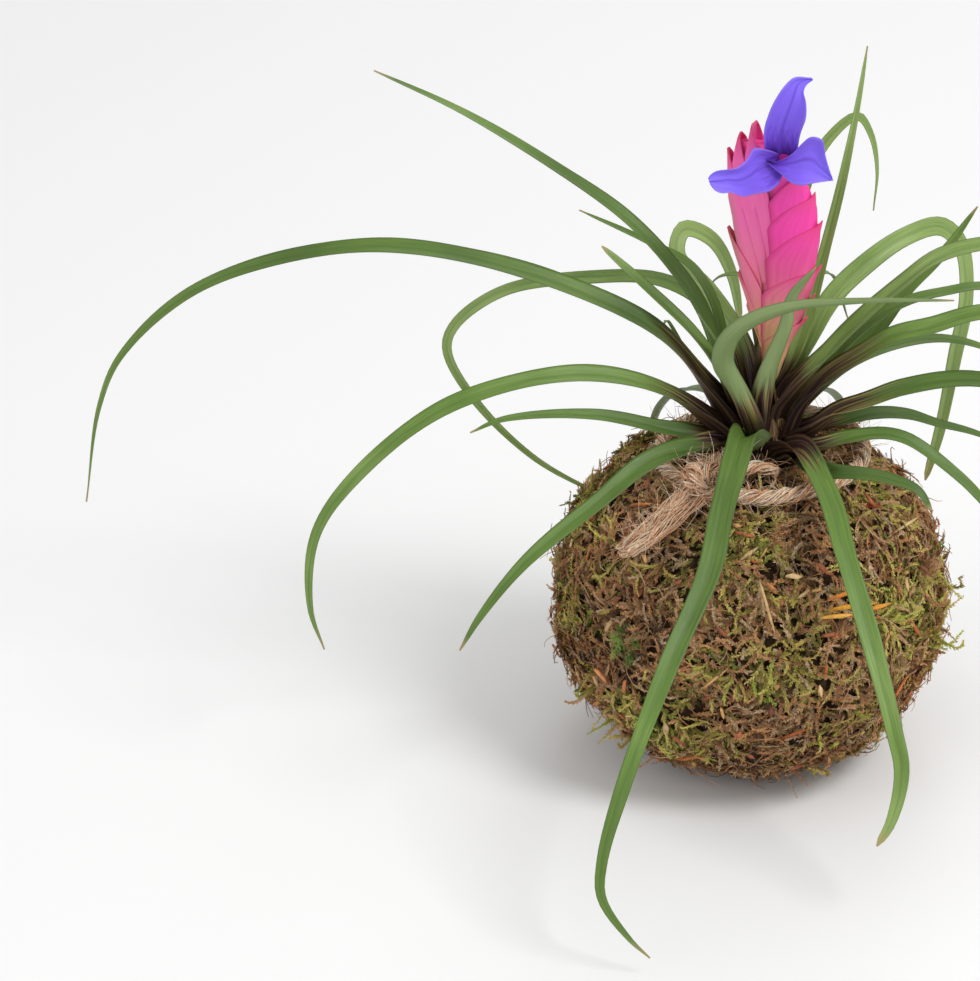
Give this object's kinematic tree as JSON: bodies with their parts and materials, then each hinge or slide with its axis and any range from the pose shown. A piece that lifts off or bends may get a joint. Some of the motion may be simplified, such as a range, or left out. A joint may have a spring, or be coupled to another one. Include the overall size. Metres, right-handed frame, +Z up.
{
  "type": "kokedama moss ball plant",
  "caption": "Moss-wrapped root ball tied with jute twine, with a rosette of arching strap leaves and a flat pink flower spike with violet petals.",
  "frame": {"origin": "centre of the small flat spot under the moss ball, on the surface that it rests on", "axes": "+Z up; the side seen in the picture faces -Y; +X is to that viewer's right, along the widest spread of the leaves"},
  "size_m": [0.3546, 0.2152, 0.229],
  "materials": {
    "soil": "matte, damp peat and clay",
    "moss": "matte, dry tan and olive moss with green tufts",
    "crown": "satin, dark purple-brown leaf sheaths",
    "leaf": "satin, green strap leaves with fine veins",
    "stalk": "satin, pinkish brown",
    "bract": "satin, bright pink bracts",
    "petal": "soft violet-blue petals",
    "twine": "matte, frayed jute"
  },
  "bodies": {
    "root": {"soil_ball": "soil", "moss_skin": "moss", "leaf_crown": "crown", "leaf_left_long": "leaf", "leaf_left_high": "leaf", "leaf_left_curl": "leaf", "leaf_left_arch": "leaf", "leaf_left_short": "leaf", "leaf_front_left": "leaf", "leaf_front_long": "leaf", "leaf_front_right": "leaf", "leaf_back_left_thin": "leaf", "leaf_left_spear": "leaf", "leaf_loop": "leaf", "leaf_back_hook": "leaf", "leaf_back_short": "leaf", "leaf_left_stub": "leaf", "leaf_left_small": "leaf", "leaf_upright": "leaf", "leaf_back_tall": "leaf", "leaf_right_arch": "leaf", "leaf_right_long": "leaf", "leaf_right_spear": "leaf", "leaf_right_fine": "leaf", "leaf_cross": "leaf", "leaf_front_short": "leaf", "leaf_right_broad": "leaf", "leaf_right_back": "leaf", "leaf_right_low": "leaf", "leaf_right_thin": "leaf", "leaf_right_bow": "leaf", "leaf_right_stub": "leaf", "leaf_back_right": "leaf", "leaf_back_middle": "leaf", "leaf_back_left": "leaf", "flower_stalk": "stalk", "quill_bracts": "bract", "flower_tube": "petal", "petal_upper": "petal", "petal_left": "petal", "petal_right": "petal", "twine_tie": "twine", "twine_tail": "twine"}
  },
  "joints": []
}
